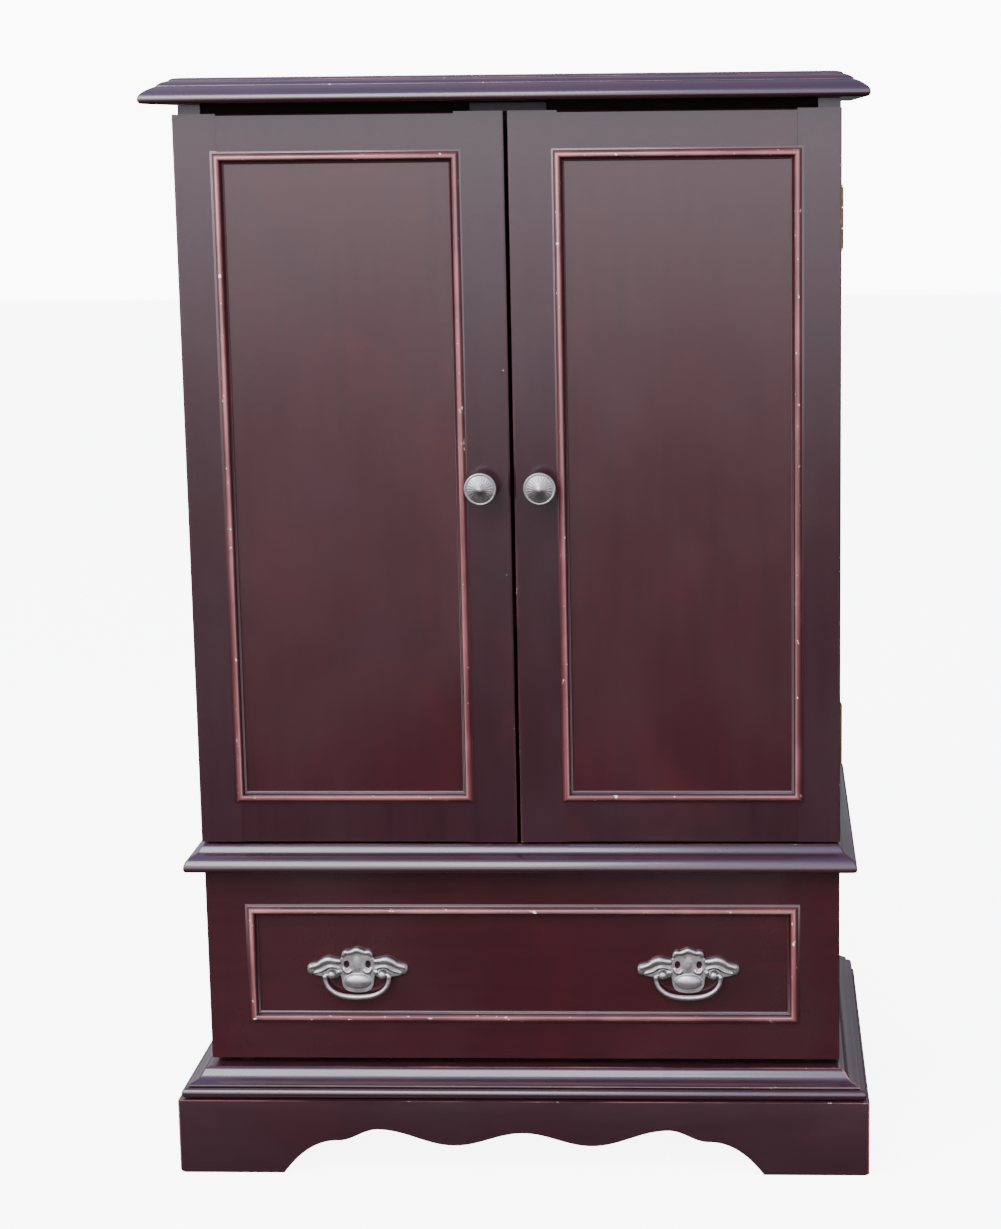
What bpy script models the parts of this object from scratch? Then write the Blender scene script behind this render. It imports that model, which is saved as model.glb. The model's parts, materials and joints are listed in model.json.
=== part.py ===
"""Small jewelry armoire: two framed doors over one long drawer, on a scalloped plinth.

X runs to the right, the doors face -Y and +Z is up, all in metres.  The origin is on the
floor, in the middle of the footprint.  "Out" is always a distance proud of the body, so
one moulding profile serves the front and both ends.  Pieces that touch keep GAP between
them, and each piece is one closed solid.
"""
import math

import bmesh
import bpy
from mathutils import Matrix, Vector

# Driving dimensions of the body
BODY_W = 0.410
BODY_D = 0.262
HEIGHT = 0.700
KNOB_PROUD = 0.022
GAP = 0.0003

SIDE_X = BODY_W / 2
FRONT = KNOB_PROUD - (BODY_D + KNOB_PROUD) / 2
BACK = FRONT + BODY_D

# Heights of the stacked sections
PLINTH_H = 0.0495
FLOOR_TOP = 0.0562
RUNNER_TOP = 0.0668
DRAWER_Z = (0.0705, 0.1990)
WAIST_Z = (0.2000, 0.2165)
DOOR_Z = (0.2182, 0.6780)
TOP_Z = 0.6842
TOP_RAIL_Z = 0.6783
TOP_RAIL_T = 0.012

# Case boards
SIDE_T = 0.014
BACK_T = 0.0039
RABBET_X = 0.0070
RABBET_Y = 0.0045
SHELF_Z = 0.352
SHELF_T = 0.009

# Plinth
PLINTH_OUT = 0.019
PLINTH_T = 0.012
BASE_SET = 0.002
FOOT_X = 0.156
SHOULDER_X = 0.120
SHOULDER_Z = 0.0222
SCALLOPS = ((0.0, 0.0276), (0.0445, 0.0190), (0.0945, 0.0298), (SHOULDER_X, SHOULDER_Z))
WAVE_STEPS = 5
FOOT_STEPS = 6
FOOT_POWER = 2.2
SIDE_FOOT_D = 0.062
FOOT_RUN = FOOT_X - SHOULDER_X

# Doors
DOOR_T = 0.018
DOOR_MEET = 0.0012
RING_X = (0.0280, 0.1815)
RING_Z = (0.2440, 0.6550)
RING_LAP = 0.0035
PANEL_DEEP = 0.0014
PANEL_T = 0.0086
TONGUE = 0.0045
TONGUE_Y = (0.0063, 0.0097)
ARRIS = 0.0012

# Hinges: the axis lies in the joint between the door's back and the side's front edge
AXIS_BEHIND = 0.0005
CASE_BEHIND = 0.0013
HINGE_Z = (0.2850, 0.6110)
HINGE_L = 0.038
LEAF_W = 0.0115
LEAF_T = 0.0008
LEAF_OFF = 0.0003
BARREL_R = 0.0017
BORE_R = 0.0010
PIN_R = 0.0007
KNUCKLE_L = (HINGE_L - 2 * GAP) / 3

# Knobs and pulls
KNOB_X = 0.0184
KNOB_Z = 0.448
SCREW_HOLE_R = 0.0023
PULL_X = 0.1075
PULL_Z = 0.1285
PLATE_T = 0.0016
POST_X = 0.0165
POST_R = 0.0024
POST_PROUD = 0.0072
PIVOT_PROUD = 0.0050
PIVOT_HOLE_R = 0.00135
BAIL_R = 0.0015

# Drawer
DRAWER_SET = 0.0055
DRAWER_FRONT_T = 0.018
DRAWER_RING_X = 0.179
DRAWER_RING_Z = (0.0951, 0.1744)
DRAWER_BOX_X = 0.190
DRAWER_BOX_Z = (0.0672, 0.1820)
DRAWER_WALL = 0.009
DRAWER_BOTTOM_UP = 0.002
DRAWER_BOTTOM_T = 0.004
DRAWER_BACK_FREE = 0.012

CASE_FRONT = FRONT + DOOR_T + CASE_BEHIND
DRAWER_FACE = FRONT + DRAWER_SET
DRAWER_BEHIND = DRAWER_FACE + DRAWER_FRONT_T
LOWER_FRONT = DRAWER_BEHIND + 0.001
PANEL_FACE = DRAWER_FACE + PANEL_DEEP

# (distance out, height) up the moulded edge of each board
TOP_EDGE = ((0.0142, 0.0), (0.0160, 0.0010), (0.0166, 0.0027), (0.0161, 0.0050), (0.0142, 0.0072),
            (0.0108, 0.0089), (0.0078, 0.0096), (0.0071, 0.0112), (0.0044, 0.0127), (0.0004, 0.0135),
            (-0.0004, 0.0146), (-0.0050, 0.0158))
WAIST_EDGE = ((0.0092, 0.0), (0.0104, 0.0012), (0.0108, 0.0034), (0.0102, 0.0064), (0.0084, 0.0090),
              (0.0054, 0.0106), (0.0034, 0.0112), (0.0026, 0.0130), (0.0008, 0.0150), (-0.0010, 0.0165))
FLOOR_EDGE = ((0.0146, 0.0), (0.0164, 0.0012), (0.0171, 0.0032), (0.0164, 0.0052), (0.0146, 0.0064))
OGEE = ((0.0003, 0.0), (0.0130, 0.0), (0.0134, 0.0012), (0.0118, 0.0019), (0.0096, 0.0026),
        (0.0074, 0.0038), (0.0057, 0.0054), (0.0046, 0.0072), (0.0036, 0.0088), (0.0022, 0.0098),
        (0.0003, 0.0100))
TOP_FRONT_EXTRA = 0.0025

# (distance in from the ring's outer edge, height off the stiles) round the panel moulding
RING = ((0.0, GAP), (0.0, 0.0016), (0.0010, 0.0028), (0.0024, 0.0035), (0.0040, 0.0034),
        (0.0056, 0.0024), (0.0068, 0.0008), (0.0075, 0.0002), (0.0075, GAP - PANEL_DEEP),
        (0.0038, GAP - PANEL_DEEP), (0.0038, GAP))

# (radius, height) down the turned knob and its screw, the door's face at height 0
KNOB = ((0.0, 0.0220), (0.0016, 0.0215), (0.0032, 0.0202), (0.0044, 0.0196), (0.0074, 0.0184),
        (0.0085, 0.0181), (0.0092, 0.0185), (0.0099, 0.0180), (0.01025, 0.0170), (0.0100, 0.0156),
        (0.0080, 0.0134), (0.0048, 0.0108), (0.0036, 0.0078), (0.0041, 0.0040), (0.0060, 0.0018),
        (0.0064, 0.0003), (SCREW_HOLE_R, 0.0003), (SCREW_HOLE_R, 0.0080), (0.0, 0.0080))
KNOB_SCREW = ((0.0, 0.0076), (0.0020, 0.0076), (0.0020, -0.0183), (0.0038, -0.0183),
              (0.0036, -0.0194), (0.0022, -0.0200), (0.0, -0.0202))
PIN_HEAD_R = 0.0012
PIN_HEAD_L = 0.0010

# Right half of the pull's plate, from the crown round the wing to the boss, about the pivot
PLATE = ((0.0, 0.0170), (0.0036, 0.0158), (0.0074, 0.0154), (0.0097, 0.0134), (0.0101, 0.0108),
         (0.0118, 0.0094), (0.0150, 0.0101), (0.0186, 0.0109), (0.0221, 0.0099), (0.0256, 0.0076),
         (0.0292, 0.0068), (0.0321, 0.0057), (0.0328, 0.0034), (0.0311, 0.0005), (0.0275, -0.0013),
         (0.0240, -0.0020), (0.0204, -0.0030), (0.0165, -0.0038), (0.0134, -0.0028), (0.0114, -0.0016),
         (0.0106, -0.0042), (0.0102, -0.0074), (0.0088, -0.0104), (0.0056, -0.0124), (0.0, -0.0131))
PIERCING = (0.0073, 0.0064, 0.0017, 0.0024)
# Half of the bail, from its turned-in end to the bottom: across, up, share of BAIL_R
BAIL = ((0.0141, 0.0, 0.62), (0.0194, 0.0, 0.62), (0.0201, -0.0004, 0.76), (0.0207, -0.0015, 0.95),
        (0.0208, -0.0032, 1.0), (0.0202, -0.0058, 1.0), (0.0186, -0.0086, 1.0), (0.0161, -0.0111, 1.0),
        (0.0127, -0.0131, 1.0), (0.0088, -0.0144, 1.05), (0.0045, -0.0150, 1.1))
BAIL_DROP = 0.0152

# Inner fittings
HOOK_Z = 0.622
HOOK_X = 0.150
HOOK_COUNT = 6
STRIP = (0.165, 0.0030, 0.016)
HOOK = ((0.0, 0.0), (0.006, -0.001), (0.011, -0.004), (0.014, -0.003), (0.016, 0.002))
HOOK_R = 0.0013
CATCH = (0.024, 0.014, 0.016)
CATCH_BEHIND = 0.0007
STRIKE_X = (0.006, 0.020)
STRIKE_Z = (0.6645, 0.6765)
STRIKE_T = 0.0008

# (colour, roughness, metallic)
FINISH = {
    "mahogany": ((0.085, 0.030, 0.032, 1.0), 0.32, 0.0),
    "mahogany_panel": ((0.100, 0.032, 0.034, 1.0), 0.30, 0.0),
    "backing": ((0.150, 0.070, 0.050, 1.0), 0.60, 0.0),
    "drawer_box": ((0.180, 0.075, 0.050, 1.0), 0.55, 0.0),
    "felt": ((0.020, 0.015, 0.025, 1.0), 0.95, 0.0),
    "pewter": ((0.360, 0.350, 0.330, 1.0), 0.38, 1.0),
    "brass": ((0.600, 0.430, 0.200, 1.0), 0.35, 1.0),
    "steel": ((0.550, 0.550, 0.560, 1.0), 0.30, 1.0),
    "black_plastic": ((0.020, 0.020, 0.022, 1.0), 0.45, 0.0),
}

PLANES = {
    "XY": Matrix.Identity(3),
    "XZ": Matrix(((1, 0, 0), (0, 0, -1), (0, 1, 0))),
    "YZ": Matrix(((0, 0, 1), (1, 0, 0), (0, 1, 0))),
}


def clear_scene():
    for obj in list(bpy.data.objects):
        bpy.data.objects.remove(obj, do_unlink=True)


def new_collection(name):
    group = bpy.data.collections.new(name)
    bpy.context.scene.collection.children.link(group)
    return group


clear_scene()
PARTS = new_collection("jewelry_armoire")
CUTTERS = new_collection("cutters")


def material(name, finish):
    colour, roughness, metallic = FINISH[finish]
    mat = bpy.data.materials.new(name + "_" + finish)
    mat.use_nodes = True
    shader = mat.node_tree.nodes["Principled BSDF"]
    shader.inputs["Base Color"].default_value = colour
    shader.inputs["Roughness"].default_value = roughness
    shader.inputs["Metallic"].default_value = metallic
    return mat


def part(name, mesh, finish, smooth=False):
    """A named piece of the armoire with its own material."""
    obj = bpy.data.objects.new(name, mesh)
    mesh.materials.clear()
    mesh.materials.append(material(name, finish))
    if smooth:
        mesh.shade_smooth()
        mesh.set_sharp_from_angle(angle=math.radians(35))
    PARTS.objects.link(obj)
    return obj


def cutter(mesh):
    obj = bpy.data.objects.new("cutter", mesh)
    obj.hide_render = True
    obj.display_type = "WIRE"
    CUTTERS.objects.link(obj)
    return obj


def boolean(obj, tool, operation="DIFFERENCE"):
    mod = obj.modifiers.new(operation.lower(), "BOOLEAN")
    mod.object = tool
    mod.operation = operation
    return mod


def bevel(obj, width, segments=2):
    mod = obj.modifiers.new("eased_edges", "BEVEL")
    mod.width = width
    mod.segments = segments
    mod.limit_method = "ANGLE"
    mod.angle_limit = math.radians(40)
    return mod


def mesh_from(bm, name):
    bmesh.ops.recalc_face_normals(bm, faces=bm.faces)
    mesh = bpy.data.meshes.new(name)
    bm.to_mesh(mesh)
    bm.free()
    return mesh


def box_mesh(low, high):
    """Box between two corners; the corners may come in any order."""
    size = [abs(b - a) for a, b in zip(low, high)]
    middle = [(a + b) / 2 for a, b in zip(low, high)]
    bm = bmesh.new()
    bmesh.ops.create_cube(bm, size=1.0, matrix=Matrix.Translation(middle) @ Matrix.Diagonal((*size, 1.0)))
    return mesh_from(bm, "box")


def cylinder_mesh(radius, start, end, sides=16):
    """Cylinder between two points."""
    start, end = Vector(start), Vector(end)
    turn = (end - start).to_track_quat("Z", "Y").to_matrix().to_4x4()
    bm = bmesh.new()
    bmesh.ops.create_cone(bm, cap_ends=True, segments=sides, radius1=radius, radius2=radius,
                          depth=(end - start).length, matrix=Matrix.Translation((start + end) / 2) @ turn)
    return mesh_from(bm, "cylinder")


def box(name, low, high, finish, eased=0.0):
    obj = part(name, box_mesh(low, high), finish)
    if eased:
        bevel(obj, eased)
    return obj


def edge_loft(levels, ring=False):
    """Skin over rectangles (x0, x1, y0, y1, z), capped at both ends or closed on itself."""
    bm = bmesh.new()
    loops = [[bm.verts.new((x, y, z)) for x, y in ((x0, y0), (x1, y0), (x1, y1), (x0, y1))]
             for x0, x1, y0, y1, z in levels]
    pairs = list(zip(loops, loops[1:]))
    if ring:
        pairs.append((loops[-1], loops[0]))
    else:
        bm.faces.new(loops[0])
        bm.faces.new(loops[-1])
    for lower, upper in pairs:
        for i in range(4):
            j = (i + 1) % 4
            bm.faces.new((lower[i], lower[j], upper[j], upper[i]))
    return mesh_from(bm, "loft")


def moulded_board(name, edge, z, front_extra, finish):
    """Board with one moulded edge profile round its front and both ends."""
    levels = [(-SIDE_X - out, SIDE_X + out, FRONT - front_extra - out, BACK, z + up) for out, up in edge]
    return part(name, edge_loft(levels), finish)


def panel_ring(name, x, z, face, finish):
    """Mitred bead round a panel, standing on the face y = face."""
    levels = [(x[0] + u, x[1] - u, z[0] + u, z[1] - u, v) for u, v in RING]
    obj = part(name, edge_loft(levels, ring=True), finish)
    obj.matrix_world = Matrix.Translation((0.0, face, 0.0)) @ PLANES["XZ"].to_4x4()
    return obj


def curve_to_mesh(curve, matrix):
    """Evaluate a curve, weld its caps and give the closed mesh in world space."""
    obj = bpy.data.objects.new("curve", curve)
    CUTTERS.objects.link(obj)
    graph = bpy.context.evaluated_depsgraph_get()
    mesh = bpy.data.meshes.new_from_object(obj.evaluated_get(graph))
    bm = bmesh.new()
    bm.from_mesh(mesh)
    bmesh.ops.remove_doubles(bm, verts=bm.verts, dist=1e-6)
    bm.transform(matrix)
    bpy.data.objects.remove(obj)
    return mesh_from(bm, "solid")


def prism_mesh(outlines, plane, low, high):
    """Flat outlines in a world plane, pushed out from low to high along the third axis."""
    curve = bpy.data.curves.new("outline", "CURVE")
    curve.dimensions = "2D"
    curve.fill_mode = "BOTH"
    curve.extrude = abs(high - low) / 2
    for points in outlines:
        spline = curve.splines.new("POLY")
        spline.points.add(len(points) - 1)
        spline.use_cyclic_u = True
        for vertex, (u, v) in zip(spline.points, points):
            vertex.co = (u, v, 0.0, 1.0)
    frame = PLANES[plane]
    shift = frame @ Vector((0.0, 0.0, 1.0))
    middle = Vector([abs(c) for c in shift]) * (low + high) / 2
    return curve_to_mesh(curve, Matrix.Translation(middle) @ frame.to_4x4())


def smooth_outline(points, steps=3):
    """Catmull-Rom curve through a closed list of points."""
    out = []
    count = len(points)
    for i in range(count):
        a, b, c, d = (Vector(points[(i + k - 1) % count]) for k in range(4))
        for s in range(steps):
            t = s / steps
            out.append(tuple(0.5 * (2 * b + (c - a) * t + (2 * a - 5 * b + 4 * c - d) * t ** 2
                                    + (3 * b - a - 3 * c + d) * t ** 3)))
    return out


def turned(name, profile, matrix, finish, steps=20):
    """Solid of revolution; the profile runs down its outer side."""
    bm = bmesh.new()
    verts = [bm.verts.new((r, 0.0, z)) for r, z in profile]
    for a, b in zip(verts, verts[1:]):
        bm.edges.new((a, b))
    mesh = bpy.data.meshes.new(name)
    bm.to_mesh(mesh)
    bm.free()
    obj = part(name, mesh, finish)
    mod = obj.modifiers.new("turned", "SCREW")
    mod.axis = "Z"
    mod.steps = steps
    mod.render_steps = steps
    mod.use_smooth_shade = True
    mod.use_merge_vertices = True
    mod.merge_threshold = 1e-6
    obj.matrix_world = matrix
    return obj


def cut_plane(obj, point, normal):
    """Take away the side of the plane that the normal points to, and close the cut."""
    bm = bmesh.new()
    bm.from_mesh(obj.data)
    bmesh.ops.bisect_plane(bm, geom=bm.verts[:] + bm.edges[:] + bm.faces[:], plane_co=point,
                           plane_no=normal, clear_outer=True)
    open_edges = [edge for edge in bm.edges if edge.is_boundary]
    bmesh.ops.holes_fill(bm, edges=open_edges)
    bmesh.ops.recalc_face_normals(bm, faces=bm.faces)
    bm.to_mesh(obj.data)
    bm.free()


def mitre(obj, side, keep_front):
    """Cut a base piece at 45 degrees on one front corner of the plinth."""
    corner = Vector((side * (SIDE_X + PLINTH_OUT), FRONT + BASE_SET - PLINTH_OUT, 0.0))
    normal = Vector((side, 1.0, 0.0)).normalized()
    if not keep_front:
        normal = -normal
    cut_plane(obj, corner - normal * GAP / 2, normal)


# ---------------------------------------------------------------- case

def side_board(name, side, z0, z1, front):
    """Case side with a rabbet for the back panel on its inner back corner."""
    outer, inner = side * SIDE_X, side * (SIDE_X - SIDE_T)
    lip = side * (SIDE_X - RABBET_X)
    outline = ((inner, front), (outer, front), (outer, BACK), (lip, BACK),
               (lip, BACK - RABBET_Y), (inner, BACK - RABBET_Y))
    return part(name, prism_mesh([outline], "XY", z0 + GAP, z1 - GAP), "mahogany")


def make_top():
    """Top board, with a low rail under it on each side of the catch that closes the slot over the doors."""
    top = moulded_board("top_board", TOP_EDGE, TOP_Z, TOP_FRONT_EXTRA, "mahogany")
    near, far = CATCH[0] + GAP, SIDE_X - SIDE_T - GAP
    front = CASE_FRONT + CATCH_BEHIND
    for side in (-1, 1):
        rail = box_mesh((side * near, front, TOP_RAIL_Z), (side * far, front + TOP_RAIL_T, TOP_Z + 0.002))
        boolean(top, cutter(rail), "UNION")


def make_case():
    make_top()
    waist = moulded_board("waist_board", WAIST_EDGE, WAIST_Z[0], 0.0, "mahogany")
    notch = SIDE_X - RABBET_X
    boolean(waist, cutter(box_mesh((-notch, BACK - RABBET_Y, 0.19), (notch, BACK + 0.01, 0.23))))
    make_floor()
    for side, word in ((-1, "left"), (1, "right")):
        upper = side_board("upper_side_" + word, side, WAIST_Z[1], TOP_Z, CASE_FRONT)
        cut_hinge_mortises(upper, side)
        side_board("lower_side_" + word, side, FLOOR_TOP, WAIST_Z[0], LOWER_FRONT)
    half = SIDE_X - RABBET_X - GAP
    box("back_panel", (-half, BACK - BACK_T - GAP, FLOOR_TOP + GAP), (half, BACK - GAP, TOP_Z - GAP), "backing")


def make_floor():
    """Bottom board: beaded on its edge, and thicker between the case sides to carry the drawer."""
    z = PLINTH_H + GAP
    levels = [(-SIDE_X - out, SIDE_X + out, FRONT + BASE_SET - out, BACK, z + up) for out, up in FLOOR_EDGE]
    half = SIDE_X - SIDE_T - GAP
    back = BACK - BACK_T - 2 * GAP
    levels += [(-half, half, LOWER_FRONT, back, height) for height in (levels[-1][-1], RUNNER_TOP)]
    part("bottom_board", edge_loft(levels), "mahogany")


def scallop_half():
    """Lower edge of the apron from its middle to the foot, as (across, up)."""
    points = []
    for (x0, z0), (x1, z1) in zip(SCALLOPS, SCALLOPS[1:]):
        for step in range(WAVE_STEPS):
            t = step / WAVE_STEPS
            points.append((x0 + (x1 - x0) * t, z0 + (z1 - z0) * (1 - math.cos(math.pi * t)) / 2))
    return points + foot_curve()


def foot_curve():
    """The foot's inner side, from its shoulder down to the floor."""
    points = []
    for step in range(FOOT_STEPS + 1):
        t = step / FOOT_STEPS
        points.append((SHOULDER_X + FOOT_RUN * t, SHOULDER_Z * (1 - t ** FOOT_POWER)))
    return points


def make_plinth():
    half = SIDE_X + PLINTH_OUT
    front = FRONT + BASE_SET - PLINTH_OUT
    right = scallop_half()
    left = [(-x, z) for x, z in reversed(right[1:])]
    outline = [(-half, 0.0)] + left + right + [(half, 0.0), (half, PLINTH_H), (-half, PLINTH_H)]
    apron = part("plinth_front", prism_mesh([outline], "XZ", front, front + PLINTH_T), "mahogany")
    for side, word in ((-1, "left"), (1, "right")):
        mitre(apron, side, keep_front=True)
        plinth_side(side, word, front)
    inner = half - PLINTH_T - GAP
    toe = foot_curve()
    right = [(x - SHOULDER_X + inner - SIDE_FOOT_D, z) for x, z in toe]
    left = [(-x, z) for x, z in reversed(right)]
    outline = [(-inner, 0.0)] + left + right + [(inner, 0.0), (inner, PLINTH_H), (-inner, PLINTH_H)]
    part("plinth_back", prism_mesh([outline], "XZ", BACK - PLINTH_T, BACK), "mahogany")


def plinth_side(side, word, front):
    """End board of the plinth, with a bracket foot at each end and a plain arch between."""
    toe = [(y - SHOULDER_X, z) for y, z in foot_curve()]
    reach = SIDE_FOOT_D + FOOT_RUN
    near = [(front + reach - y, z) for y, z in reversed(toe)]
    far = [(BACK - reach + y, z) for y, z in toe]
    outline = [(front, 0.0)] + near + far + [(BACK, 0.0), (BACK, PLINTH_H), (front, PLINTH_H)]
    outer = side * (SIDE_X + PLINTH_OUT)
    mesh = prism_mesh([outline], "YZ", *sorted((outer, outer - side * PLINTH_T)))
    board = part("plinth_" + word, mesh, "mahogany")
    mitre(board, side, keep_front=False)


def make_base_moulding():
    """Ogee that stands on the bottom board and runs round the foot of the case.

    At the front it is worked on a rail that reaches back under the drawer front.
    """
    z = FLOOR_TOP + GAP
    reach = SIDE_X + PLINTH_OUT
    outline = [(FRONT + BASE_SET - out, z + up) for out, up in OGEE]
    front = part("base_moulding_front", prism_mesh([outline], "YZ", -reach, reach), "mahogany")
    for side, word in ((-1, "left"), (1, "right")):
        mitre(front, side, keep_front=True)
        outline = [(side * (SIDE_X + out), z + up) for out, up in OGEE]
        mesh = prism_mesh([outline], "XZ", FRONT - PLINTH_OUT, BACK)
        mitre(part("base_moulding_" + word, mesh, "mahogany"), side, keep_front=False)
    face = FRONT + BASE_SET - OGEE[-1][0]
    rail = box_mesh((-SIDE_X, face - GAP, z), (SIDE_X, LOWER_FRONT - GAP, z + OGEE[-1][1]))
    boolean(front, cutter(rail), "UNION")


def make_inside():
    """Shelf with its felt, the necklace hooks and the magnetic catch."""
    half = SIDE_X - SIDE_T - GAP
    back = BACK - BACK_T - 2 * GAP
    front = CASE_FRONT + 0.012
    box("inner_shelf", (-half, front, SHELF_Z), (half, back, SHELF_Z + SHELF_T), "backing", 0.001)
    felt = SHELF_Z + SHELF_T + GAP
    box("shelf_liner", (-half + 0.004, front + 0.004, felt), (half - 0.004, back - 0.003, felt + 0.0015), "felt")

    strip_half, strip_t, strip_h = STRIP
    strip_y = back - GAP - strip_t
    strip = box("hook_strip", (-strip_half, strip_y, HOOK_Z), (strip_half, back - GAP, HOOK_Z + strip_h), "brass")
    for i in range(HOOK_COUNT):
        x = -HOOK_X + 2 * HOOK_X * i / (HOOK_COUNT - 1)
        boolean(strip, cutter(hook_mesh(x, strip_y + strip_t / 2, HOOK_Z + strip_h / 2)), "UNION")

    wide, deep, tall = CATCH
    face = CASE_FRONT + CATCH_BEHIND
    box("magnet_catch", (-wide, face, TOP_Z - GAP - tall), (wide, face + deep, TOP_Z - GAP), "black_plastic", 0.0008)


def hook_mesh(x, y, z):
    """One J of wire that points out of the strip and turns up at its tip."""
    path = [(x, y - out, z + up, 1.0) for out, up in HOOK]
    return wire_mesh(path, HOOK_R)


def wire_mesh(path, radius):
    """Round wire through (x, y, z, share of the radius), with filled ends."""
    curve = bpy.data.curves.new("wire", "CURVE")
    curve.dimensions = "3D"
    curve.bevel_depth = radius
    curve.bevel_resolution = 2
    curve.use_fill_caps = True
    spline = curve.splines.new("POLY")
    spline.points.add(len(path) - 1)
    for vertex, (x, y, z, share) in zip(spline.points, path):
        vertex.co = (x, y, z, 1.0)
        vertex.radius = share
    return curve_to_mesh(curve, Matrix.Identity(4))


# ---------------------------------------------------------------- hinges

def hinge_frame(side, z):
    """Hinge space: X away from the cabinet, Y towards its back, the pin along Z."""
    turn = Matrix.Identity(4) if side > 0 else Matrix.Rotation(math.pi, 4, "Y")
    return Matrix.Translation((side * SIDE_X, FRONT + DOOR_T + AXIS_BEHIND, z)) @ turn


def leaf_solid(name, face, knuckles):
    """One leaf with its knuckles, in hinge space; face is +1 for the case and -1 for the door."""
    near, far = face * LEAF_OFF, face * (LEAF_OFF + LEAF_T)
    root = -BARREL_R - GAP
    leaf = part(name, box_mesh((-LEAF_W, near, -HINGE_L / 2), (root, far, HINGE_L / 2)), "brass")
    for middle in knuckles:
        low, high = middle - KNUCKLE_L / 2, middle + KNUCKLE_L / 2
        boolean(leaf, cutter(box_mesh((root - 0.001, near, low), (-BORE_R / 2, far, high))), "UNION")
        boolean(leaf, cutter(cylinder_mesh(BARREL_R, (0, 0, low), (0, 0, high))), "UNION")
    boolean(leaf, cutter(cylinder_mesh(BORE_R, (0, 0, -HINGE_L), (0, 0, HINGE_L))))
    graph = bpy.context.evaluated_depsgraph_get()
    solid = bpy.data.meshes.new_from_object(leaf.evaluated_get(graph))
    bpy.data.objects.remove(leaf)
    return solid


def make_hinges():
    pitch = KNUCKLE_L + GAP
    case_leaf = leaf_solid("case_leaf", 1, (-pitch, pitch))
    door_leaf = leaf_solid("door_leaf", -1, (0.0,))
    reach = HINGE_L / 2 + GAP
    pin = ((0.0, reach + PIN_HEAD_L), (PIN_HEAD_R, reach + PIN_HEAD_L), (PIN_HEAD_R, reach), (PIN_R, reach),
           (PIN_R, -reach), (PIN_HEAD_R, -reach), (PIN_HEAD_R, -reach - PIN_HEAD_L), (0.0, -reach - PIN_HEAD_L))
    for side, word in ((-1, "left"), (1, "right")):
        for z, level in zip(HINGE_Z, ("lower", "upper")):
            tail = word + "_" + level
            frame = hinge_frame(side, z)
            part("hinge_case_leaf_" + tail, case_leaf.copy(), "brass").matrix_world = frame
            part("hinge_door_leaf_" + tail, door_leaf.copy(), "brass").matrix_world = frame
            turned("hinge_pin_" + tail, pin, frame, "brass", steps=12)


def cut_hinge_mortises(obj, side):
    """Let the leaves and the barrel into a board on either side of the joint."""
    depth = LEAF_OFF + LEAF_T + GAP
    for z in HINGE_Z:
        half = HINGE_L / 2 + GAP
        frame = hinge_frame(side, z)
        recess = cutter(box_mesh((-LEAF_W - GAP, -depth, -half), (0.004, depth, half)))
        barrel = cutter(cylinder_mesh(BARREL_R + GAP, (0, 0, -half - PIN_HEAD_L - GAP), (0, 0, half + PIN_HEAD_L + GAP)))
        for tool in (recess, barrel):
            tool.matrix_world = frame
            boolean(obj, tool)


# ---------------------------------------------------------------- doors

def grooved_profile(edge, opening, y0):
    """Section of a frame member across its width: groove towards the opening, eased front arris."""
    way = 1 if opening > edge else -1
    groove = opening - way * (TONGUE + GAP)
    y_front, y_back = TONGUE_Y[0] - GAP + y0, TONGUE_Y[1] + GAP + y0
    return ((edge + way * ARRIS, y0), (opening, y0), (opening, y_front), (groove, y_front),
            (groove, y_back), (opening, y_back), (opening, y0 + DOOR_T), (edge, y0 + DOOR_T),
            (edge, y0 + ARRIS), (edge + way * ARRIS * 0.3, y0 + ARRIS * 0.3))


def make_door(side, word):
    """Stiles, rails, panel and bead of one door, with its knob, screw and strike plate."""
    name = "door_" + word + "_"
    open_x = (RING_X[0] + RING_LAP, RING_X[1] - RING_LAP)
    open_z = (RING_Z[0] + RING_LAP, RING_Z[1] - RING_LAP)

    meeting = grooved_profile(side * DOOR_MEET, side * open_x[0], FRONT)
    stile = part(name + "stile_meeting", prism_mesh([meeting], "XY", *DOOR_Z), "mahogany")
    knob_at = Vector((side * KNOB_X, FRONT, KNOB_Z))
    hole = cylinder_mesh(SCREW_HOLE_R, knob_at - Vector((0, 0.01, 0)), knob_at + Vector((0, 0.03, 0)))
    boolean(stile, cutter(hole))
    outer = grooved_profile(side * SIDE_X, side * open_x[1], FRONT)
    stile = part(name + "stile_hinge", prism_mesh([outer], "XY", *DOOR_Z), "mahogany")
    cut_hinge_mortises(stile, side)

    across = sorted((side * (open_x[0] + GAP), side * (open_x[1] - GAP)))
    for rail, edge, opening in (("bottom", DOOR_Z[0], open_z[0]), ("top", DOOR_Z[1], open_z[1])):
        profile = [(y, z) for z, y in grooved_profile(edge, opening, FRONT)]
        part(name + "rail_" + rail, prism_mesh([profile], "YZ", *across), "mahogany")

    make_door_panel(name, across, open_z)
    ring_x = sorted((side * RING_X[0], side * RING_X[1]))
    panel_ring(name + "moulding", ring_x, RING_Z, FRONT, "mahogany")
    outward = Matrix.Translation(knob_at) @ Matrix.Rotation(math.pi / 2, 4, "X")
    turned(name + "knob", KNOB, outward, "pewter")
    turned(name + "knob_screw", KNOB_SCREW, outward, "steel", steps=12)
    strike_y = FRONT + DOOR_T + GAP
    box(name + "strike_plate", (side * STRIKE_X[0], strike_y, STRIKE_Z[0]),
        (side * STRIKE_X[1], strike_y + STRIKE_T, STRIKE_Z[1]), "steel")


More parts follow.
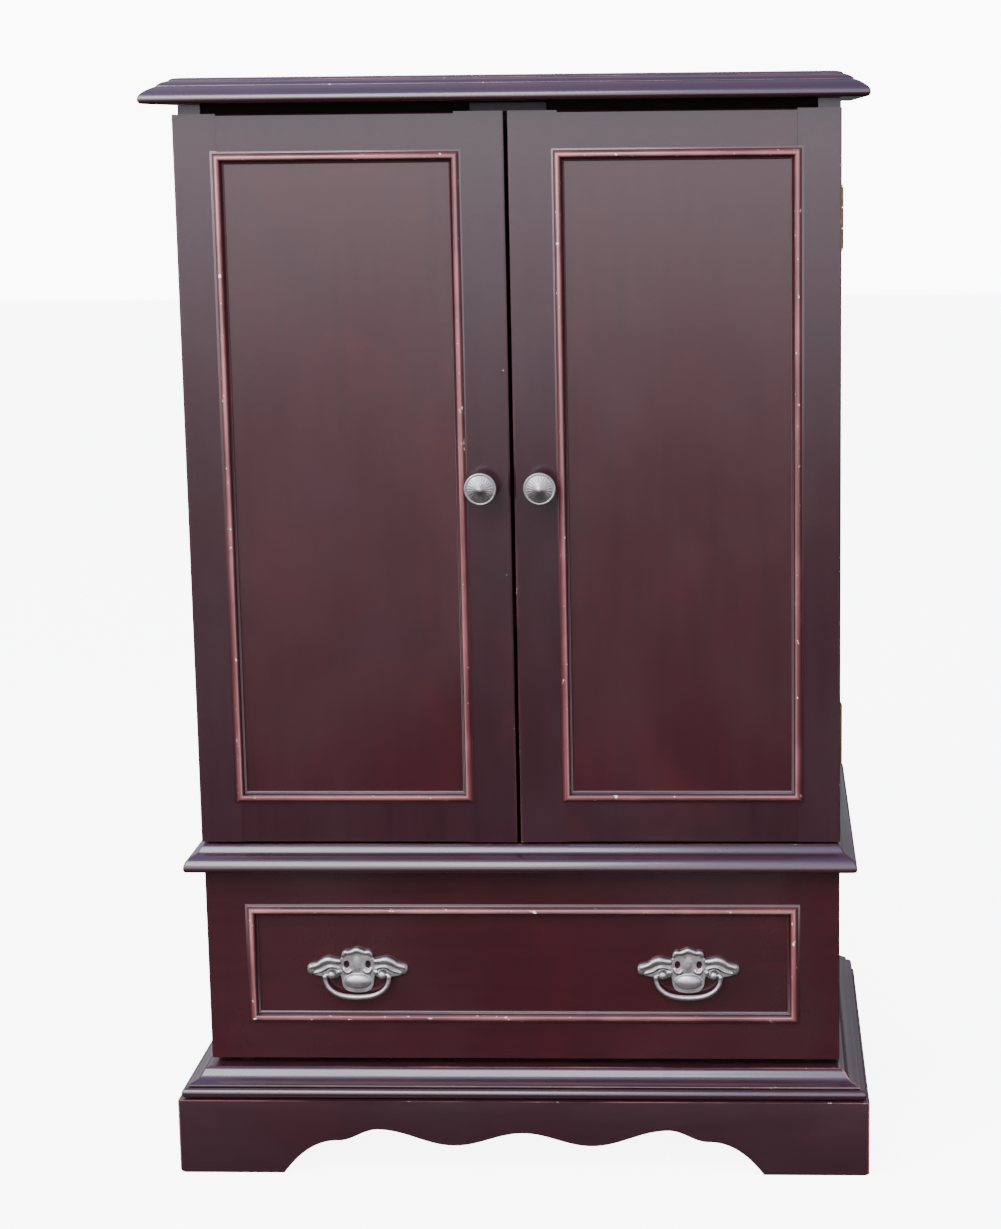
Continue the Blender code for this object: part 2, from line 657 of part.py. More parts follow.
def make_door_panel(name, across, open_z):
    """Flat panel whose tongue runs in the frame's groove."""
    levels = []
    for y, grow in ((PANEL_DEEP, -GAP), (TONGUE_Y[0], -GAP), (TONGUE_Y[0], TONGUE),
                    (TONGUE_Y[1], TONGUE), (TONGUE_Y[1], -GAP), (PANEL_DEEP + PANEL_T, -GAP)):
        sides = grow + GAP
        levels.append((across[0] - sides, across[1] + sides, open_z[0] - grow, open_z[1] + grow, -y))
    panel = part(name + "panel", edge_loft(levels), "mahogany_panel")
    panel.matrix_world = Matrix.Translation((0.0, FRONT, 0.0)) @ PLANES["XZ"].to_4x4()


# ---------------------------------------------------------------- drawer

def make_drawer():
    half = SIDE_X
    z0, z1 = DRAWER_Z
    front = box("drawer_front", (-half, DRAWER_FACE, z0), (half, DRAWER_BEHIND, z1), "mahogany")
    inner_x = DRAWER_RING_X - RING_LAP
    inner_z = (DRAWER_RING_Z[0] + RING_LAP, DRAWER_RING_Z[1] - RING_LAP)
    boolean(front, cutter(box_mesh((-inner_x, FRONT, inner_z[0]), (inner_x, PANEL_FACE, inner_z[1]))))
    bevel(front, ARRIS * 0.8)
    panel_ring("drawer_moulding", (-DRAWER_RING_X, DRAWER_RING_X), DRAWER_RING_Z, DRAWER_FACE, "mahogany")

    y0, y1 = DRAWER_BEHIND + GAP, BACK - DRAWER_BACK_FREE
    low, high = DRAWER_BOX_Z
    inside = DRAWER_BOX_X - DRAWER_WALL
    for side, word in ((-1, "left"), (1, "right")):
        box("drawer_side_" + word, (side * inside, y0, low), (side * DRAWER_BOX_X, y1, high), "drawer_box", 0.001)
    fit = inside - GAP
    box("drawer_back", (-fit, y1 - DRAWER_WALL, low), (fit, y1, high), "drawer_box", 0.001)
    bottom = low + DRAWER_BOTTOM_UP
    felt = bottom + DRAWER_BOTTOM_T + GAP
    box("drawer_bottom", (-fit, y0, bottom), (fit, y1 - DRAWER_WALL - GAP, felt - GAP), "drawer_box")
    box("drawer_liner", (-fit + 0.001, y0 + 0.001, felt), (fit - 0.001, y1 - DRAWER_WALL - 0.001, felt + 0.002), "felt")


def make_pull(side, word):
    """Pierced plate with two posts, and the bail that hangs in them."""
    x, z = side * PULL_X, PULL_Z
    outline = list(PLATE) + [(-u, v) for u, v in reversed(PLATE[1:-1])]
    rim = [(x + u, z + v) for u, v in smooth_outline(outline)]
    u, v, wide, tall = PIERCING
    holes = [[(x + s * u + wide * math.cos(a), z + v + tall * math.sin(a))
              for a in (math.tau * i / 12 for i in range(12))] for s in (-1, 1)]
    back = PANEL_FACE - GAP
    plate = part("pull_plate_" + word, prism_mesh([rim] + holes, "XZ", back - PLATE_T, back), "pewter")
    pivot_y = PANEL_FACE - PIVOT_PROUD
    for s in (-1, 1):
        post = cylinder_mesh(POST_R, (x + s * POST_X, PANEL_FACE - POST_PROUD, z), (x + s * POST_X, back - PLATE_T / 2, z))
        boolean(plate, cutter(post), "UNION")
    for s in (-1, 1):
        near, far = x + s * (POST_X - 2 * POST_R), x + s * (POST_X + 2 * POST_R)
        boolean(plate, cutter(cylinder_mesh(PIVOT_HOLE_R, (near, pivot_y, z), (far, pivot_y, z), 12)))

    half = [(u, v, share) for u, v, share in BAIL]
    path = [(-u, pivot_y, v, share) for u, v, share in half] + [(0.0, pivot_y, -BAIL_DROP, 1.15)]
    path += [(u, pivot_y, v, share) for u, v, share in reversed(half)]
    bail = part("pull_bail_" + word, wire_mesh([(u, y - pivot_y, v, share) for u, y, v, share in path], BAIL_R),
                "pewter", smooth=True)
    bail.location = (x, pivot_y, z)


def add_motion_empties():
    """Guides on the joint axes; each moving group is parented to its own."""
    groups = {
        "door_left_axis": ((-SIDE_X, FRONT + DOOR_T + AXIS_BEHIND, DOOR_Z[0]), ("door_left_", "hinge_door_leaf_left")),
        "door_right_axis": ((SIDE_X, FRONT + DOOR_T + AXIS_BEHIND, DOOR_Z[0]), ("door_right_", "hinge_door_leaf_right")),
        "drawer_slide": ((0.0, DRAWER_FACE, DRAWER_Z[0]), ("drawer_", "pull_")),
    }
    pieces = list(PARTS.objects)
    bpy.context.view_layer.update()
    for name, (place, prefixes) in groups.items():
        guide = bpy.data.objects.new(name, None)
        guide.location = place
        PARTS.objects.link(guide)
        inverse = Matrix.Translation(place).inverted()
        for obj in pieces:
            if obj.name.startswith(prefixes):
                obj.parent = guide
                obj.matrix_parent_inverse = inverse


def build():
    make_case()
    make_plinth()
    make_base_moulding()
    make_inside()
    make_hinges()
    for side, word in ((-1, "left"), (1, "right")):
        make_door(side, word)
        make_pull(side, word)
    make_drawer()
    add_motion_empties()


build()
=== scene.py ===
"""Looks of the jewelry armoire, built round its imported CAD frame.

The frame fixes every size and every moving body.  This script adds the finely shaped
mouldings, cast hardware, velvet linings, materials, floor, light and camera.
"""
import json
import math

import bmesh
import bpy
from mathutils import Matrix, Vector, noise


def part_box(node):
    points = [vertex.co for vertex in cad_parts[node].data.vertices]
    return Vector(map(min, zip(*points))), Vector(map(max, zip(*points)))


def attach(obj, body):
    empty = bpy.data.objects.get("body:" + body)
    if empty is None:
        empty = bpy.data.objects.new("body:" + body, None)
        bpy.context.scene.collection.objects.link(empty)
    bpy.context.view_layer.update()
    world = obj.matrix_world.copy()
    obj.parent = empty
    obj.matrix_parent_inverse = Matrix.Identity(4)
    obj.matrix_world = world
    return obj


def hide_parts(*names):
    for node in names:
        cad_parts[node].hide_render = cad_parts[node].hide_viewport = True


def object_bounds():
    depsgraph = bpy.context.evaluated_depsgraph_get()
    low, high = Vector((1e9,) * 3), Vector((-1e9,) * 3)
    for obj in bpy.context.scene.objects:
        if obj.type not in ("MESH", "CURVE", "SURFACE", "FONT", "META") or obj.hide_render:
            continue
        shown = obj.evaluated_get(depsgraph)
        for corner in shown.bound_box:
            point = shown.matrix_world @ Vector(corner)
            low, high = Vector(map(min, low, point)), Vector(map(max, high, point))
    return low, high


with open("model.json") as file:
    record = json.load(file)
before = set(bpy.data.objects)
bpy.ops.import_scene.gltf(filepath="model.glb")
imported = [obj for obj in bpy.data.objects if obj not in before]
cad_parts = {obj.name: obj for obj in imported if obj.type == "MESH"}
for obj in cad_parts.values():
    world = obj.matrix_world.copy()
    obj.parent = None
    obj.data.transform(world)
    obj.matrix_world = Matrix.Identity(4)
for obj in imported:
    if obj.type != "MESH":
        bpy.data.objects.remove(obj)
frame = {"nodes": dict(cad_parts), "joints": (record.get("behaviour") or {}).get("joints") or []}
CAD_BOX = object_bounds()
SIDES = ((-1, "left"), (1, "right"))

# The pull's plate and bail, in metres about the bail's pivot: (across, up)
PLATE = ((0.0, 0.0170), (0.0036, 0.0158), (0.0052, 0.0150), (0.0074, 0.0154), (0.0097, 0.0134),
         (0.0101, 0.0108), (0.0118, 0.0094), (0.0150, 0.0101), (0.0186, 0.0109), (0.0221, 0.0099),
         (0.0256, 0.0076), (0.0292, 0.0068), (0.0321, 0.0057), (0.0328, 0.0034), (0.0311, 0.0005),
         (0.0275, -0.0013), (0.0240, -0.0020), (0.0204, -0.0030), (0.0165, -0.0038), (0.0134, -0.0028),
         (0.0114, -0.0016), (0.0106, -0.0042), (0.0102, -0.0074), (0.0088, -0.0104), (0.0056, -0.0124),
         (0.0, -0.0131))
PIERCING = (0.0070, 0.0060, 0.0018, 0.0025)
BAIL = ((0.0150, 0.0, 0.62), (0.0194, 0.0, 0.66), (0.0202, -0.0003, 0.95), (0.0208, -0.0013, 1.15),
        (0.0208, -0.0028, 0.98), (0.0204, -0.0052, 0.92), (0.0190, -0.0082, 0.92),
        (0.0164, -0.0109, 0.96), (0.0130, -0.0130, 1.02), (0.0088, -0.0144, 1.08),
        (0.0044, -0.0150, 1.12), (0.0, -0.0152, 1.14))
BAIL_R = 0.0015

# Moulded edges, in metres: (in from the outermost point, up); a doubled point is a sharp corner
TOP_EDGE = ((0.0030, 0.0), (0.0030, 0.0), (0.0012, 0.0003), (0.0002, 0.0014), (0.0, 0.0030),
            (0.0005, 0.0048), (0.0019, 0.0065), (0.0043, 0.0082), (0.0072, 0.0097), (0.0096, 0.0106),
            (0.0096, 0.0106), (0.0101, 0.0114), (0.0116, 0.0125), (0.0138, 0.0134), (0.0160, 0.0140),
            (0.0160, 0.0140), (0.0165, 0.0147), (0.0178, 0.0153), (0.0196, 0.0156), (0.0216, 0.0158))
WAIST_EDGE = ((0.0036, 0.0), (0.0036, 0.0), (0.0014, 0.0002), (0.0003, 0.0010), (0.0, 0.0027),
              (0.0004, 0.0050), (0.0018, 0.0076), (0.0042, 0.0096), (0.0068, 0.0108), (0.0078, 0.0114),
              (0.0086, 0.0124), (0.0094, 0.0138), (0.0104, 0.0152), (0.0118, 0.0165))
BEAD_EDGE = ((0.0025, 0.0), (0.0010, 0.0006), (0.0002, 0.0020), (0.0, 0.0032), (0.0002, 0.0044),
             (0.0010, 0.0058), (0.0025, 0.0064))
OGEE = ((0.0131, 0.0), (0.0131, 0.0), (0.0004, 0.0), (0.0004, 0.0), (0.0, 0.0006), (0.0002, 0.0013),
        (0.0002, 0.0013), (0.0016, 0.0019), (0.0038, 0.0026), (0.0060, 0.0038), (0.0077, 0.0054),
        (0.0088, 0.0072), (0.0098, 0.0087), (0.0112, 0.0097), (0.0131, 0.0100), (0.0131, 0.0100))
# Bead round a panel: (in from the outer edge, height off the frame, how worn)
RING = ((-0.0008, -0.0001, 0.0), (-0.0001, 0.0002, 0.0), (0.0006, 0.0004, 0.1), (0.0012, 0.0010, 0.2),
        (0.0017, 0.0019, 0.4), (0.0024, 0.0028, 0.8), (0.0033, 0.0034, 1.0), (0.0041, 0.0035, 1.0),
        (0.0048, 0.0031, 0.8), (0.0053, 0.0021, 0.3), (0.0056, 0.0008, 0.05), (0.0059, -0.0003, 0.0),
        (0.0063, -0.0006, 0.0), (0.0067, -0.0003, 0.1), (0.0071, -0.0005, 0.1), (0.0075, -0.0009, 0.0),
        (0.0075, -0.0014, 0.0), (0.0036, -0.0014, 0.0), (0.0036, -0.0001, 0.0))
RING_SHOWN = 16  # the rest closes the bead where it is let into the frame
# Turned knob: (radius, height off the door)
KNOB = ((0.0, 0.0220), (0.0009, 0.0219), (0.0019, 0.0214), (0.0030, 0.0206), (0.0042, 0.0199),
        (0.0055, 0.0193), (0.0068, 0.0187), (0.0079, 0.0182), (0.0086, 0.0179), (0.0090, 0.0180),
        (0.0095, 0.0180), (0.0100, 0.0177), (0.01025, 0.0170), (0.0101, 0.0161), (0.0092, 0.0147),
        (0.0074, 0.0130), (0.0054, 0.0114), (0.0041, 0.0096), (0.0036, 0.0074), (0.0038, 0.0050),
        (0.0047, 0.0030), (0.0059, 0.0020), (0.0064, 0.0013), (0.0064, 0.0001))
KNOB_STEPS = 96
KNOB_FLUTES = 24

TOP_RAIL_T = 0.012
APRON_WAVES = ((0.0, 0.0276), (0.0445, 0.0190), (0.0945, 0.0298), (0.120, 0.0222))
FOOT_RUN = 0.036
FOOT_POWER = 2.2
FOOT_CORNER_R = 0.0028
SIDE_FOOT = 0.062


# ---------------------------------------------------------------- mesh helpers

def new_object(name, mesh, smooth_angle=None):
    obj = bpy.data.objects.new(name, mesh)
    bpy.context.scene.collection.objects.link(obj)
    if smooth_angle is not None:
        mesh.shade_smooth()
        mesh.set_sharp_from_angle(angle=math.radians(smooth_angle))
    return obj


def finish_mesh(bm, name):
    bmesh.ops.recalc_face_normals(bm, faces=bm.faces)
    mesh = bpy.data.meshes.new(name)
    bm.to_mesh(mesh)
    bm.free()
    return mesh


def spline(points, steps):
    """Smooth curve through the points, of any dimension; a doubled point stays a sharp corner."""
    points = [Vector(p) for p in points]
    out = []
    for i in range(len(points) - 1):
        b, c = points[i], points[i + 1]
        if (c - b).length < 1e-7:
            continue
        a = points[i - 1] if i > 0 else b
        d = points[i + 2] if i + 2 < len(points) else c
        for s in range(steps):
            t = s / steps
            out.append(0.5 * (2 * b + (c - a) * t + (2 * a - 5 * b + 4 * c - d) * t ** 2
                              + (3 * b - a - 3 * c + d) * t ** 3))
    out.append(points[-1])
    return out


def loft(loops, closed=False):
    """Skin over loops of equal length, capped at both ends or closed on itself."""
    bm = bmesh.new()
    rows = [[bm.verts.new(p) for p in loop] for loop in loops]
    pairs = list(zip(rows, rows[1:]))
    if closed:
        pairs.append((rows[-1], rows[0]))
    else:
        bm.faces.new(rows[0])
        bm.faces.new(rows[-1])
    count = len(rows[0])
    for lower, upper in pairs:
        for i in range(count):
            j = (i + 1) % count
            bm.faces.new((lower[i], lower[j], upper[j], upper[i]))
    return bm


def block(low, high):
    """Plain box between two corners."""
    size = [b - a for a, b in zip(low, high)]
    middle = [(a + b) / 2 for a, b in zip(low, high)]
    bm = bmesh.new()
    bmesh.ops.create_cube(bm, size=1.0, matrix=Matrix.Translation(middle) @ Matrix.Diagonal((*size, 1.0)))
    return finish_mesh(bm, "block")


def joined(name, meshes, smooth_angle=None):
    bm = bmesh.new()
    for mesh in meshes:
        bm.from_mesh(mesh)
    return new_object(name, finish_mesh(bm, name), smooth_angle)


def evaluated(obj):
    """Apply an object's modifiers into its mesh."""
    graph = bpy.context.evaluated_depsgraph_get()
    mesh = bpy.data.meshes.new_from_object(obj.evaluated_get(graph))
    obj.modifiers.clear()
    obj.data = mesh
    return obj


def curve_object(name, paths, radius, cyclic=False, resolution=5):
    """Round wires through (x, y, z, share of the radius), as one mesh object."""
    curve = bpy.data.curves.new(name, "CURVE")
    curve.dimensions = "3D"
    curve.bevel_depth = radius
    curve.bevel_resolution = resolution
    curve.use_fill_caps = True
    for path in paths:
        line = curve.splines.new("POLY")
        line.points.add(len(path) - 1)
        line.use_cyclic_u = cyclic
        for vertex, (x, y, z, share) in zip(line.points, path):
            vertex.co = (x, y, z, 1.0)
            vertex.radius = share
    return new_object(name, mesh_of_curve(curve, name))


def mesh_of_curve(curve, name):
    temp = bpy.data.objects.new(name, curve)
    bpy.context.scene.collection.objects.link(temp)
    graph = bpy.context.evaluated_depsgraph_get()
    mesh = bpy.data.meshes.new_from_object(temp.evaluated_get(graph))
    bm = bmesh.new()
    bm.from_mesh(mesh)
    bmesh.ops.remove_doubles(bm, verts=bm.verts, dist=1e-6)
    bpy.data.objects.remove(temp)
    return finish_mesh(bm, name)


def prism(outlines, low, high):
    """Outlines in (x, z), pushed through y from low to high, with whole faces at both ends."""
    curve = bpy.data.curves.new("outline", "CURVE")
    curve.dimensions = "2D"
    curve.fill_mode = "BOTH"
    curve.extrude = (high - low) / 2
    for points in outlines:
        line = curve.splines.new("POLY")
        line.points.add(len(points) - 1)
        line.use_cyclic_u = True
        for vertex, (x, z) in zip(line.points, points):
            vertex.co = (x, z, 0.0, 1.0)
    mesh = mesh_of_curve(curve, "prism")
    mesh.transform(Matrix.Translation((0, (low + high) / 2, 0)) @ Matrix.Rotation(math.pi / 2, 4, "X"))
    return mesh


def shown(obj, body, slot, material, *nodes):
    """Put a finished piece on its body, in place of CAD nodes, with its material; the slot argument is not
    used.
    """
    obj.data.materials.clear()
    obj.data.materials.append(material)
    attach(obj, body)
    if nodes:
        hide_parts(*nodes)
    return obj


# ---------------------------------------------------------------- shader helpers

class Look:
    """One material's node tree, with short names for the nodes used here."""

    def __init__(self, name):
        self.material = bpy.data.materials.new(name)
        self.material.use_nodes = True
        self.tree = self.material.node_tree
        self.surface = self.tree.nodes["Principled BSDF"]
        self.coords = self.tree.nodes.new("ShaderNodeTexCoord").outputs["Object"]

    def put(self, socket, value):
        if isinstance(value, bpy.types.NodeSocket):
            self.tree.links.new(value, socket)
        else:
            socket.default_value = value

    def set(self, **values):
        for name, value in values.items():
            self.put(self.surface.inputs[name.replace("_", " ")], value)

    def stretch(self, scale, shift=(0.0, 0.0, 0.0)):
        node = self.tree.nodes.new("ShaderNodeMapping")
        self.put(node.inputs["Vector"], self.coords)
        node.inputs["Scale"].default_value = scale
        node.inputs["Location"].default_value = shift
        return node.outputs["Vector"]

    def noise(self, vector, scale, detail=4.0, rough=0.55, distort=0.0):
        node = self.tree.nodes.new("ShaderNodeTexNoise")
        self.put(node.inputs["Vector"], vector)
        settings = {"Scale": scale, "Detail": detail, "Roughness": rough, "Distortion": distort}
        for key, item in settings.items():
            node.inputs[key].default_value = item
        return node.outputs["Fac"]

    def cells(self, vector, scale):
        node = self.tree.nodes.new("ShaderNodeTexVoronoi")
        self.put(node.inputs["Vector"], vector)
        node.inputs["Scale"].default_value = scale
        return node.outputs["Distance"], node.outputs["Color"]

    def ramp(self, value, low, high, start=0.0, end=1.0):
        node = self.tree.nodes.new("ShaderNodeMapRange")
        node.interpolation_type = "SMOOTHSTEP"
        settings = {"Value": value, "From Min": low, "From Max": high, "To Min": start, "To Max": end}
        for key, item in settings.items():
            self.put(node.inputs[key], item)
        return node.outputs["Result"]

    def math(self, operation, a, b=0.0):
        node = self.tree.nodes.new("ShaderNodeMath")
        node.operation = operation
        node.use_clamp = operation in ("MULTIPLY", "ADD", "SUBTRACT")
        self.put(node.inputs[0], a)
        self.put(node.inputs[1], b)
        return node.outputs[0]

    def mix(self, share, a, b, blend="MIX"):
        node = self.tree.nodes.new("ShaderNodeMix")
        node.data_type = "RGBA"
        node.blend_type = blend
        for socket, value in zip((node.inputs[0], node.inputs[6], node.inputs[7]), (share, a, b)):
            if isinstance(value, tuple) and len(value) == 3:
                value = (*value, 1.0)
            self.put(socket, value)
        return node.outputs[2]

    def bump(self, height, distance, strength=1.0, normal=None):
        node = self.tree.nodes.new("ShaderNodeBump")
        node.inputs["Distance"].default_value = distance
        node.inputs["Strength"].default_value = strength
        self.put(node.inputs["Height"], height)
        if normal is not None:
            self.put(node.inputs["Normal"], normal)
        return node.outputs["Normal"]

    def edges(self, radius):
        """About 1 on arrises that turn within the radius, 0 on flat faces."""
        bevel = self.tree.nodes.new("ShaderNodeBevel")
        bevel.samples = 6
        bevel.inputs["Radius"].default_value = radius
        true_normal = self.tree.nodes.new("ShaderNodeNewGeometry").outputs["True Normal"]
        dot = self.tree.nodes.new("ShaderNodeVectorMath")
        dot.operation = "DOT_PRODUCT"
        self.put(dot.inputs[0], bevel.outputs["Normal"])
        self.put(dot.inputs[1], true_normal)
        return self.ramp(dot.outputs["Value"], 0.995, 0.88)

    def between(self, reach):
        """1 where the distance from the middle plane lies in reach."""
        split = self.tree.nodes.new("ShaderNodeSeparateXYZ")
        self.put(split.inputs[0], self.coords)
        away = self.math("ABSOLUTE", split.outputs["X"])
        return self.math("MULTIPLY", self.math("GREATER_THAN", away, reach[0]),
                         self.math("LESS_THAN", away, reach[1]))

    def hollows(self, distance):
        """1 in the open, falling to 0 in recesses."""
        node = self.tree.nodes.new("ShaderNodeAmbientOcclusion")
        node.samples = 8
        node.only_local = True
        node.inputs["Distance"].default_value = distance
        return node.outputs["AO"]

    def attribute(self, name):
        node = self.tree.nodes.new("ShaderNodeAttribute")
        node.attribute_name = name
        return node.outputs["Fac"]


GRAIN = {"X": (0.045, 1.0, 1.0), "Y": (1.0, 0.045, 1.0), "Z": (1.0, 1.0, 0.045)}
WOODS = {
    "mahogany": (0.0190, 0.0054, 0.0078),
    "panel": (0.0225, 0.0037, 0.0054),
    "inner": (0.105, 0.0420, 0.0300),
    "box": (0.200, 0.1030, 0.0640),
}
REDDER = (1.5, 1.2, 1.1)
DULLER = (0.75, 1.15, 1.05)
RUBBED = (0.215, 0.072, 0.068)
NICK = (0.620, 0.500, 0.480)


def number_of(name):
    """A steady number from a name, to shift each board's grain."""
    return sum((i + 1) * ord(c) for i, c in enumerate(name)) % 97 / 9.7


def wood(name, grain, tone, polish=0.24, wear=1.0, ring=False, reach=None):
    """Stained and lacquered wood with its grain along one axis, worn on its arrises.

    The wear follows the ring's own measure, or the arrises whose distance from the middle is in reach.
    """
    look = Look(name + "_" + tone)
    mid = WOODS[tone]
    dark, light = tuple(c * 0.78 for c in mid), tuple(c * 1.3 for c in mid)
    shift = (number_of(name), number_of(name[::-1]), number_of(name[1:]))
    along = look.stretch(GRAIN[grain], shift)
    free = look.stretch((1.0, 1.0, 1.0), shift)
    streaks = look.noise(along, 150.0, 6.0, 0.62, 0.6)
    fine = look.noise(along, 620.0, 4.0, 0.6)
    clouds = look.noise(free, 9.0, 4.0, 0.55, 0.8)
    colour = look.mix(look.ramp(streaks, 0.25, 0.60), dark, mid)
    colour = look.mix(look.ramp(fine, 0.52, 0.78, 0.0, 0.35), colour, light)
    redder, duller = (tuple(c * k for c, k in zip(mid, tint)) for tint in (REDDER, DULLER))
    colour = look.mix(look.ramp(clouds, 0.52, 0.72, 0.0, 0.5), colour, redder)
    colour = look.mix(look.ramp(clouds, 0.46, 0.30, 0.0, 0.6), colour, duller)
    pores = look.ramp(look.noise(along, 1500.0, 2.0, 0.5), 0.66, 0.74)
    colour = look.mix(look.math("MULTIPLY", pores, 0.25), colour, dark)

    patchy = look.ramp(look.noise(free, 17.0, 4.0, 0.6), 0.36, 0.66, 0.45 if ring else 0.0, 1.0)
    rub = look.attribute("wear") if ring else look.edges(0.0011)
    if reach:
        rub = look.math("MULTIPLY", rub, look.between(reach))
    rub = look.math("MULTIPLY", look.math("MULTIPLY", rub, patchy), wear)
    colour = look.mix(rub, colour, RUBBED)
    chips = look.ramp(look.noise(free, 210.0, 3.0, 0.6), 0.66, 0.70)
    chips = look.math("MULTIPLY", chips, look.ramp(rub, 0.05, 0.30))
    colour = look.mix(chips, colour, NICK)
    distance, random = look.cells(free, 42.0)
    lucky = look.ramp(random, 0.84, 0.88)
    specks = look.math("MULTIPLY", look.ramp(distance, 0.026, 0.014), lucky)
    specks = look.math("MULTIPLY", specks, 0.35 * min(wear, 1.0))
    colour = look.mix(specks, colour, NICK)

    haze = look.noise(look.stretch((1.3, 1.0, 0.8), shift), 6.0, 5.0, 0.55, 0.25)
    gloss = look.ramp(haze, 0.34, 0.68, polish - 0.02, polish + 0.07)
    gloss = look.math("ADD", gloss, look.math("MULTIPLY", rub, 0.15))
    ripple = look.noise(free, 330.0, 2.0, 0.5)
    normal = look.bump(ripple, 0.00006, 0.35)
    normal = look.bump(pores, 0.00008, -0.5, normal)
    normal = look.bump(fine, 0.00005, 0.35, normal)
    look.set(Base_Color=colour, Roughness=gloss, Normal=normal, Specular_IOR_Level=0.5)
    look.surface.inputs["Coat Weight"].default_value = 0.30
    look.surface.inputs["Coat Roughness"].default_value = 0.13
    return look.material


def pewter(name, tint=(0.31, 0.300, 0.280)):
    """Cast metal with an aged finish: rubbed bright where it is proud, near black in the hollows."""
    look = Look(name)
    open_air = look.ramp(look.hollows(0.0045), 0.42, 0.98)
    cast = look.noise(look.coords, 900.0, 4.0, 0.6)
    stain = look.noise(look.coords, 260.0, 4.0, 0.6, 0.5)
    colour = look.mix(open_air, (0.022, 0.023, 0.020), tint)
    colour = look.mix(look.ramp(stain, 0.46, 0.70, 0.0, 0.55), colour, (0.150, 0.150, 0.135))
    pink = look.ramp(look.noise(look.coords, 120.0, 3.0), 0.5, 0.7, 0.0, 0.35)
    colour = look.mix(pink, colour, (0.520, 0.430, 0.410))
    rough = look.ramp(cast, 0.3, 0.7, 0.34, 0.52)
    normal = look.bump(cast, 0.00012, 0.5)
    normal = look.bump(stain, 0.0002, 0.25, normal)
    look.set(Base_Color=colour, Roughness=rough, Normal=normal, Metallic=0.92)
    return look.material


def plain_metal(name, tint, rough):
    """Plated sheet or wire, with fine rub marks."""
    look = Look(name)
    marks = look.noise(look.stretch((1.0, 1.0, 0.08)), 1400.0, 3.0)
    stain = look.noise(look.coords, 160.0, 4.0)
    colour = look.mix(look.ramp(stain, 0.4, 0.7, 0.0, 0.5), tint, tuple(c * 0.55 for c in tint))
    look.set(Base_Color=colour, Roughness=look.ramp(marks, 0.3, 0.7, rough - 0.06, rough + 0.1), Metallic=1.0,
             Normal=look.bump(marks, 0.00003, 0.4))
    return look.material


def plastic(name):
    look = Look(name)
    grit = look.noise(look.coords, 1800.0, 2.0)
    colour = look.mix(look.ramp(grit, 0.3, 0.7), (0.014, 0.014, 0.015), (0.026, 0.026, 0.028))
    look.set(Base_Color=colour, Roughness=look.ramp(grit, 0.3, 0.7, 0.42, 0.55),
             Normal=look.bump(grit, 0.00004, 0.5))
    return look.material


def painted_shade_finish(name):
    """Near-black matte surface without lacquer sheen: painted shade for the slot above the doors, under the
    top's overhang.
    """
    look = Look(name)
    grain = look.noise(look.stretch(GRAIN["X"]), 300.0, 4.0, 0.6)
    # near-black base colour is painted shade, not a stain the wood has
    look.set(Base_Color=look.mix(grain, (0.006, 0.004, 0.004), (0.016, 0.009, 0.008)),
             Roughness=look.ramp(grain, 0.3, 0.7, 0.8, 0.95), Normal=look.bump(grain, 0.0001, 0.6))
    look.surface.inputs["Specular IOR Level"].default_value = 0.12
    return look.material


def velvet(name):
    """Short pile with a brushed nap."""
    look = Look(name)
    pile = look.noise(look.coords, 2600.0, 2.0, 0.6)
    nap = look.noise(look.stretch((1.0, 2.2, 1.0)), 22.0, 4.0, 0.6, 1.2)
    colour = look.mix(look.ramp(nap, 0.35, 0.68), (0.020, 0.0030, 0.0075), (0.052, 0.0080, 0.0170))
    colour = look.mix(look.ramp(pile, 0.35, 0.65, 0.0, 0.45), colour, (0.085, 0.0160, 0.0300))
    look.set(Base_Color=colour, Roughness=look.ramp(nap, 0.3, 0.7, 0.86, 0.96),
             Normal=look.bump(pile, 0.0003, 0.7))
    look.surface.inputs["Sheen Weight"].default_value = 0.7
    look.surface.inputs["Sheen Roughness"].default_value = 0.38
    look.surface.inputs["Sheen Tint"].default_value = (0.75, 0.28, 0.36, 1.0)
    return look.material


# ---------------------------------------------------------------- mouldings

def moulded_board(node, edge, grain, blocks=(), base=None, corner_r=0.0014, steps=4, arc_steps=3):
    """Board with its moulded edge round the front and both ends, front corners barely rounded."""
    low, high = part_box(node)
    base = low.z if base is None else base
    loops = []
    for inset, up in spline(edge, steps):
        x, y = high.x - inset, low.y + inset
        loop = [(x, high.y), (-x, high.y)]
        for side, start in ((-1, math.pi), (1, 1.5 * math.pi)):
            for k in range(arc_steps + 1):
                a = start + math.pi / 2 * k / arc_steps
                loop.append((side * (x - corner_r) + corner_r * math.cos(a),
                             y + corner_r + corner_r * math.sin(a)))
        loops.append([(px, py, base + up) for px, py in loop])
    meshes = [finish_mesh(loft(loops), node)] + [block(*corners) for corners in blocks]
    obj = joined(node + "_moulded", meshes, 32)
    return shown(obj, "cabinet", "mahogany", wood(node, grain, "mahogany", 0.26, 0.9), node)


def make_top():
    """Top board over a low rail behind the doors, cut away for the catch; the rail is coloured near-black as
    painted shade.
    """
    low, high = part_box("top_board")
    catch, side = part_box("magnet_catch"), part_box("upper_side_right")
    base = high.z - TOP_EDGE[-1][1]
    rails = [((min(s * catch[1].x, s * side[0].x), catch[0].y, low.z),
              (max(s * catch[1].x, s * side[0].x), catch[0].y + TOP_RAIL_T, base + 0.0010)) for s, _ in SIDES]
    board = moulded_board("top_board", TOP_EDGE, "X", rails, base)
    # faces below the board (the rail) get the near-black painted-shade finish
    board.data.materials.append(painted_shade_finish("rail_painted_shade"))
    for face in board.data.polygons:
        face.material_index = int(face.center.z < base - 0.0001)


